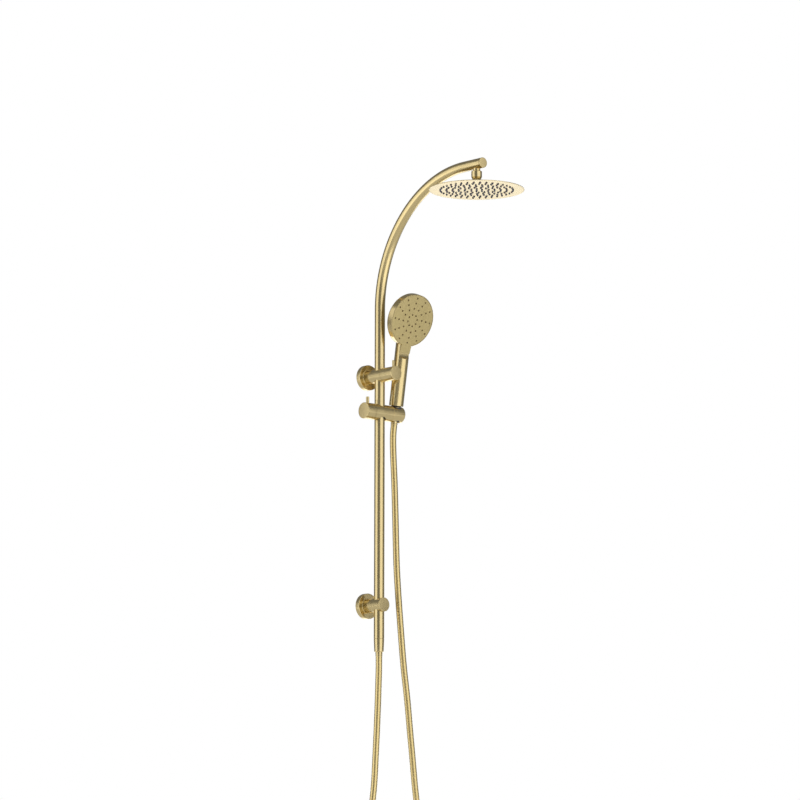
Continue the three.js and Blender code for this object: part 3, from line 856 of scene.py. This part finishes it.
@dataclass
class Rail:
    """The rail, and the gooseneck that carries on from it to the tip over the rain head."""

    radius: ClassVar[float] = 11.0
    bottom: ClassVar[float] = -71.7
    bore: float = 9.5
    end_gap: float = 2.9
    bend_start: float = 635.0
    bend_radius: float = 268.0
    arm_straight: float = 57.0
    bend_steps: int = 72

    def unroll_bend(self, point: Vector) -> tuple[float, float]:
        """Unrolls a point of the gooseneck into turns round the tube and metres along it."""
        centre = at(0, -RAIL_FROM_WALL - self.bend_radius, self.bend_start)
        away = point - centre
        big = self.bend_radius * MM
        if point.z < centre.z:
            return math.atan2(point.x, away.y - big) / math.tau, point.z
        turn = math.atan2(away.z, away.y)
        if turn > math.pi / 2:
            quarter = big * math.pi / 2
            return math.atan2(point.x, away.z - big) / math.tau, centre.z + quarter - away.y
        out = math.hypot(away.y, away.z) - big
        return math.atan2(point.x, out) / math.tau, centre.z + turn * big

    def gooseneck(self) -> Piece:
        """Extrudes and spins a circle along the rail's upper part and gives it its wall."""
        start = BRACKET_SPACING + self.end_gap
        clear_selection()
        bpy.ops.mesh.primitive_circle_add(
            vertices=MEDIUM, radius=self.radius * MM, location=at(0, -RAIL_FROM_WALL, start)
        )
        bpy.ops.object.mode_set(mode="EDIT")
        bpy.ops.mesh.select_all(action="SELECT")
        rise = at(0, 0, (self.bend_start - start) / 2)
        for _ in range(2):
            bpy.ops.mesh.extrude_edges_move(TRANSFORM_OT_translate={"value": rise})
        bpy.ops.mesh.spin(
            steps=self.bend_steps,
            angle=-math.pi / 2,
            center=at(0, -RAIL_FROM_WALL - self.bend_radius, self.bend_start),
            axis=ACROSS,
        )
        bpy.ops.mesh.extrude_edges_move(TRANSFORM_OT_translate={"value": at(0, -self.arm_straight, 0)})
        bpy.ops.mesh.select_all(action="SELECT")
        bpy.ops.mesh.remove_doubles(threshold=WELD)
        tube = settle("gooseneck_fine")
        face_outward(tube)
        apply_modifier(tube, "SOLIDIFY", {"thickness": (self.radius - self.bore) * MM, "offset": -1})
        return unrolled(soften(tube, 0), self.unroll_bend)

    def build(self) -> None:
        """Builds the rail, the gooseneck and its end cap."""
        stand = at(0, -RAIL_FROM_WALL, 0)
        top = BRACKET_SPACING - self.end_gap
        rail = spun("rail_fine", ring(self.bore, self.radius, self.bottom, top), stand, UP)
        gold(rail, "column", "rail_tube")
        gold(self.gooseneck(), "column", "riser_tube")
        height = self.bend_start + self.bend_radius
        tip = at(0, -RAIL_FROM_WALL - self.bend_radius - self.arm_straight, height)
        cap = [(0, -6), (8.9, -6), (8.9, 0.3), (self.radius, 0.3), (self.radius, 2.3), (0, 2.3)]
        gold(spun("arm_cap_fine", cap, tip, OUT, MEDIUM, 0.45), "column", "arm_end_cap")


# ---- rain head


@dataclass
class RainHead:
    """The ball joint and the slim round head. Heights count from the arm's axis."""

    radius: float = 100.0
    underside: float = -55.7
    outlet: Vector = field(default_factory=lambda: at(0, -352, 903))
    ring_step: float = 12.7
    twist: float = 1.9  # radians from one ring of nozzles to the next
    rings: int = 6
    nozzle_radius: float = 2.3
    nozzle_height: float = 2.4

    def spots(self) -> list[Vector]:
        """Returns where the nozzles are, in rings of six more each time."""
        spots = [Vector()]
        for k in range(1, self.rings + 1):
            for i in range(6 * k):
                turn = math.tau * i / (6 * k) + self.twist * k
                spots.append(at(k * self.ring_step * math.cos(turn), k * self.ring_step * math.sin(turn), 0))
        return spots

    def joint(self) -> None:
        """Builds the outlet, the swivel nut and the ball stud."""
        o = self.outlet
        nipple = spun("outlet_nipple_fine", ring(5, 7.6, -18.6, -9.4), o, UP)
        gold(nipple, "column", "arm_outlet_nipple")
        nut = [
            (8.4, -33), (9.0, -32.4), (11.0, -28.6), (11.2, -28), (11.2, -16.7), (10.9, -16), (9.9, -15.4),
            (7.9, -15.4), (7.9, -18.6), (9.3, -18.6), (9.3, -30.5), (7.1, -31.2), (7.1, -33),
        ]
        gold(spun("swivel_nut_fine", closed(nut), o, UP), "column", "swivel_nut")
        ball = [
            (6.2 * math.cos(math.radians(t)), 6.2 * math.sin(math.radians(t)) - 25) for t in range(-42, 67, 9)
        ]
        stud = [(6, -48.5), (6, -35.6), (4.2, -35.6), *ball, (2.2, ball[-1][1]), (2.2, -48.5)]
        pivot = spun("ball_stud_fine", closed(stud), o, UP)
        present(pivot, "rain_head", TURNED_GOLD, Slot.BRASS, "ball_stud")
        hub = spun("hub_fine", ring(6.3, 14.3, -47.2, -35.6), o, UP, MEDIUM, 0.8)
        gold(hub, "rain_head", "rain_head_hub")

    def head(self) -> None:
        """Builds the cover, the drilled faceplate and the nozzle mat."""
        o, r, low = self.outlet, self.radius, self.underside
        dome = [
            (r - 0.4, low), (r, low + 0.4), (r, low + 0.9), (r - 0.4, low + 1.3), (r - 10, low + 2.5),
            (r - 30, low + 4.6), (r - 60, low + 6.8), (15, -47.5), (6.3, -47.5), (6.3, -48.5), (15, -48.5),
            (r - 60, low + 6.0), (r - 30, low + 3.8), (r - 10, low + 1.7), (r - 1.5, low + 0.7),
            (r - 1.5, low),
        ]
        cover = spun("rain_cover_fine", closed(dome), o, UP, FINE, 0.15)
        present(cover, "rain_head", SHEET_GOLD, Slot.SHEET, "rain_head_cover")
        plate = spun("rain_plate_fine", rod(r - 1.8, low, low + 0.6), o, UP, FINE, CUTTER)
        hole = rod(self.nozzle_radius + 0.35, low - 2, low + 3)
        drill = spun("drill", hole, o, UP, NOZZLE_STEPS, CUTTER)
        soften(cut(plate, copies(drill, self.spots())), 0)
        present(plate, "rain_head", SHEET_GOLD, Slot.SHEET, "rain_head_faceplate")
        n, tip = self.nozzle_radius, low - self.nozzle_height
        nozzle = [
            (0, low + 1), (n, low + 1), (n, low), (n - 0.8, tip), (n - 1.5, tip), (n - 1.7, tip + 0.9),
            (0, tip + 0.9),
        ]
        nozzles = copies(spun("nozzle", nozzle, o, UP, NOZZLE_STEPS, 0), self.spots())
        mat = spun("rain_mat_fine", rod(82, low + 0.8, low + 1.8), o, UP)
        joined(mat, [nozzles])
        present(mat, "rain_head", GREY_SILICONE, Slot.GREY_SILICONE, "rain_head_nozzle_mat")

    def build(self) -> None:
        """Builds the joint and the head."""
        self.joint()
        self.head()


# ---- holder


@dataclass
class Holder:
    """The sliding holder: bush, bar, lock knob with its pin, and the tilting cradle."""

    radius: float = 17.3
    left: float = -22.0
    right: float = 27.0
    knob_end: float = -45.0
    cradle_end: float = 58.5
    bush_radius: float = 13.0
    pin_x: float = -34.0
    centre: Vector = field(default_factory=lambda: at(0, -RAIL_FROM_WALL, SLIDER_HEIGHT))

    def liner_radius(self, along: float) -> float:
        """Returns the inner radius of the cradle's liner, which follows the nut's taper."""
        return 11.0 + (along - 15.8) * 1.1 / 26.4 + GAP

    def build(self) -> None:
        """Builds the holder's pieces."""
        c = self.centre
        bush = spun("bush_fine", ring(Rail.radius + GAP, self.bush_radius, -11.5, 11.5), c, UP, FINE, 0.4)
        present(bush, "bush", ACETAL, Slot.ACETAL, "rail_bush")
        bar = spun("slider_fine", rod(self.radius, self.left, self.right), c, ACROSS, FINE, 0.3)
        hole = spun("hole", rod(self.bush_radius + GAP, -25, 25), c, UP, FINE, CUTTER)
        gold(soften(cut(bar, hole), 0), "slider", "slider_body")
        turned = rod(self.radius, self.knob_end, self.left - GAP)
        knob = spun("lock_knob_fine", turned, c, ACROSS, FINE, 0.6)
        gold(knob, "lock", "lock_knob")
        pin = spun("lock_pin_fine", rod(3.4, 7, 30.5), c + at(self.pin_x, 0, 0), UP, COARSE, 0.5)
        gold(pin, "lock", "lock_knob_pin")
        self.build_cradle()

    def build_cradle(self) -> None:
        """Builds the cradle with its leaning socket and the liner in it."""
        c = self.centre
        socket = c + at(HandShower.x, 0, 0)
        low, high, wall = -14.4, 15.2, 1.2
        r = self.liner_radius
        bar = rod(self.radius, self.right + GAP, self.cradle_end)
        cradle = spun("cradle_fine", bar, c, ACROSS, FINE, 1.1)
        reach, around = 22.0, wall + GAP
        bore = [(0, -reach), (r(-reach) + around, -reach), (r(reach) + around, reach), (0, reach)]
        cut(cradle, spun("bore", bore, socket, HandShower.lean, FINE, CUTTER))
        gold(soften(cradle, 0), "cradle", "cradle")
        outline = [(r(low) + wall, low), (r(high) + wall, high), (r(high), high), (r(low), low)]
        liner = spun("liner_fine", closed(outline), socket, HandShower.lean, FINE, 0.3)
        present(liner, "cradle", ACETAL, Slot.ACETAL, "cradle_liner")


# ---- hand shower


@dataclass
class HandShower:
    """The hand shower: a round handle, a slim round body and the keyhole-shaped spray face."""

    x: ClassVar[float] = 44.0
    lean: ClassVar[Vector] = Vector((0, -math.sin(math.radians(9.5)), math.cos(math.radians(9.5))))
    tilt: float = math.radians(20.3)
    handle_radius: float = 15.4
    handle_span: tuple[float, float] = (18.4, 168.0)
    step: float = 134.5
    face_radius: float = 57.0
    depth: float = 17.5
    plate: float = 1.3
    recess: float = 3.6
    scoop_radius: float = 10.3
    tongue: float = 13.6
    drill_radius: float = 2.1
    nozzle_rings: tuple[tuple[float, int, float], ...] = (  # share of the radius, count and turn
        (0.85, 12, 2), (0.66, 12, 4), (0.45, 12, 8), (0.22, 8, 16),
    )

    def __post_init__(self) -> None:
        """Works out the frames of the handle and the face."""
        self.foot = at(self.x, -RAIL_FROM_WALL, SLIDER_HEIGHT)
        self.centre = at(self.x, -100.5, 608.5)
        self.out = Vector((0, -math.cos(self.tilt), -math.sin(self.tilt)))
        self.up = Vector((0, -math.sin(self.tilt), math.cos(self.tilt)))
        step_point = self.foot + self.lean * (self.step * MM) - self.centre
        self.tongue_bottom = step_point.dot(self.up) / MM - 1

    def slab(self, half: float, low: float, high: float, back: float, front: float) -> Piece:
        """Returns a block in the face's frame, given by its edges in millimetres."""
        middle = self.centre + self.up * ((low + high) / 2 * MM) + self.out * ((back + front) / 2 * MM)
        return block("slab", middle, at(2 * half, high - low, front - back), math.pi / 2 + self.tilt)

    def scoop(self) -> Piece:
        """Returns the rod that hollows out the upper end of the grip, below the tongue."""
        r, depth = self.scoop_radius, self.plate + GAP
        middle = self.centre + self.up * (self.tongue_bottom * MM) + self.out * ((r - depth) * MM)
        return spun("scoop", rod(r, -20, 20), middle, ACROSS, FINE, CUTTER)

    def spots(self) -> list[Vector]:
        """Returns where the nozzles are from the face's centre, in rings that turn a little each."""
        spots = []
        for share, count, twist in self.nozzle_rings:
            for i in range(count):
                turn = math.tau * i / count + math.radians(twist - 2)
                reach = share * self.face_radius * MM
                spots.append(ACROSS * (reach * math.cos(turn)) + self.up * (reach * math.sin(turn)))
        return spots

    def body(self) -> Piece:
        """Returns the plated body: handle and round back in one, with the recess for the face."""
        r, d = self.face_radius, self.depth
        low, high = self.handle_span
        h, half, front = self.handle_radius, self.handle_radius + 2, 30.0
        grip = [
            (0, low), (h - 0.9, low), (h - 0.25, low + 0.3), (h, low + 1), (h, high - 1), (h - 1, high),
            (0, high),
        ]
        handle = spun("handset_fine", grip, self.foot, self.lean, FINE, CUTTER)
        back = [
            (0, -d), (r - 4.5, -d), (r - 2.2, -d + 0.5), (r - 0.8, -d + 1.6), (r - 0.2, -d + 2.9),
            (r, -d + 4.5), (r, -0.5), (r - 0.5, 0), (0, 0),
        ]
        disc = spun("back", back, self.centre, self.out, DISC_STEPS, CUTTER)
        cut(handle, disc, operation="UNION")
        cut(
            handle,
            spun("recess", rod(r - 1.4, -self.recess, 1), self.centre, self.out, DISC_STEPS, CUTTER),
            self.slab(half, self.tongue_bottom, -r + 10, -self.plate - GAP, front),
            self.slab(half, -r, r, 0, front),
            self.scoop(),
        )
        soften(handle, 0, 32)
        handle.data.uv_layers.remove(handle.data.uv_layers[0])
        handle_where, disc_where = about(self.foot, self.lean), about(self.centre, self.out)

        def where(point: Vector) -> tuple[float, float]:
            """Unrolls a point about the disc where it lies on it, and else about the handle."""
            on_disc = (point - self.centre).dot(self.up) > -(self.face_radius - 4) * MM
            return disc_where(point) if on_disc else handle_where(point)

        return unrolled(handle, where)

    def face(self) -> Piece:
        """Returns the spray face: a disc with a tongue, drilled for the nozzles."""
        r, back, edge = self.face_radius, -self.plate, self.face_radius - 1.7
        disc = [(0, back), (edge, back), (edge, -0.4), (edge - 0.12, -0.12), (edge - 0.4, 0), (0, 0)]
        plate = spun("handset_face_fine", disc, self.centre, self.out, DISC_STEPS, CUTTER)
        tongue = self.slab(self.tongue, self.tongue_bottom + GAP, -r + 6, back, 0)
        cut(plate, tongue, operation="UNION")
        hole = rod(self.drill_radius, -3, 1)
        drill = spun("drill", hole, self.centre, self.out, NOZZLE_STEPS, CUTTER)
        return soften(cut(plate, copies(drill, self.spots())), 0, 30)

    def build(self) -> None:
        """Builds the body, the face, the nozzles and the seal."""
        present(self.body(), "handset", PLATED_GOLD, Slot.PLATED, "handset_body")
        present(self.face(), "handset", FACE_GOLD, Slot.PLATED_FACE, "handset_face_plate")
        mat = spun("handset_mat_fine", rod(self.face_radius - 4, -3.3, -1.6), self.centre, self.out)
        pip = [(0, -2.5), (1.7, -2.5), (1.7, -0.5), (1.25, 0.3), (0.7, 0.3), (0.5, -0.3), (0, -0.3)]
        nozzles = copies(spun("pip", pip, self.centre, self.out, NOZZLE_STEPS, 0), self.spots())
        joined(mat, [nozzles])
        present(mat, "handset", BROWN_SILICONE, Slot.BROWN_SILICONE, "handset_nozzle_mat")
        seal = spun("seal_fine", ring(8.5, 10.4, 15.9, 18.6), self.foot, self.lean, MEDIUM, 0.2)
        present(seal, "handset", EPDM, Slot.RUBBER, "handset_seal_ring")


def dress_kept_parts() -> None:
    """Gives every CAD node the finish of its slot, also those that a finer piece stands for."""
    slots = {part["node"]: Slot(part["material_slot"]) for part in frame["record"]["subparts"]}
    for node, part in frame["nodes"].items():
        material = FINISH_OF_SLOT[slots[node]].material()
        part.data.materials.clear()
        part.data.materials.append(material)


def main() -> None:
    """Builds the studio, the cords and then the sub-assemblies."""
    logging.basicConfig(level=logging.INFO, format="%(message)s")
    Studio().build()
    holder = at(HandShower.x, -RAIL_FROM_WALL, SLIDER_HEIGHT)
    rail_end = HoseEnd("rail", "column", at(0, -RAIL_FROM_WALL, Rail.bottom - GAP), UP)
    mouth = holder + HandShower.lean * (15.8 * MM)
    handset_end = HoseEnd("handset", "swivel_nut_end", mouth, HandShower.lean)
    Hose().build(rail_end, handset_end)
    for assembly in (Brackets(), Rail(), RainHead(), Holder(), HandShower()):
        assembly.build()
    dress_kept_parts()


if __name__ == "__main__":
    main()
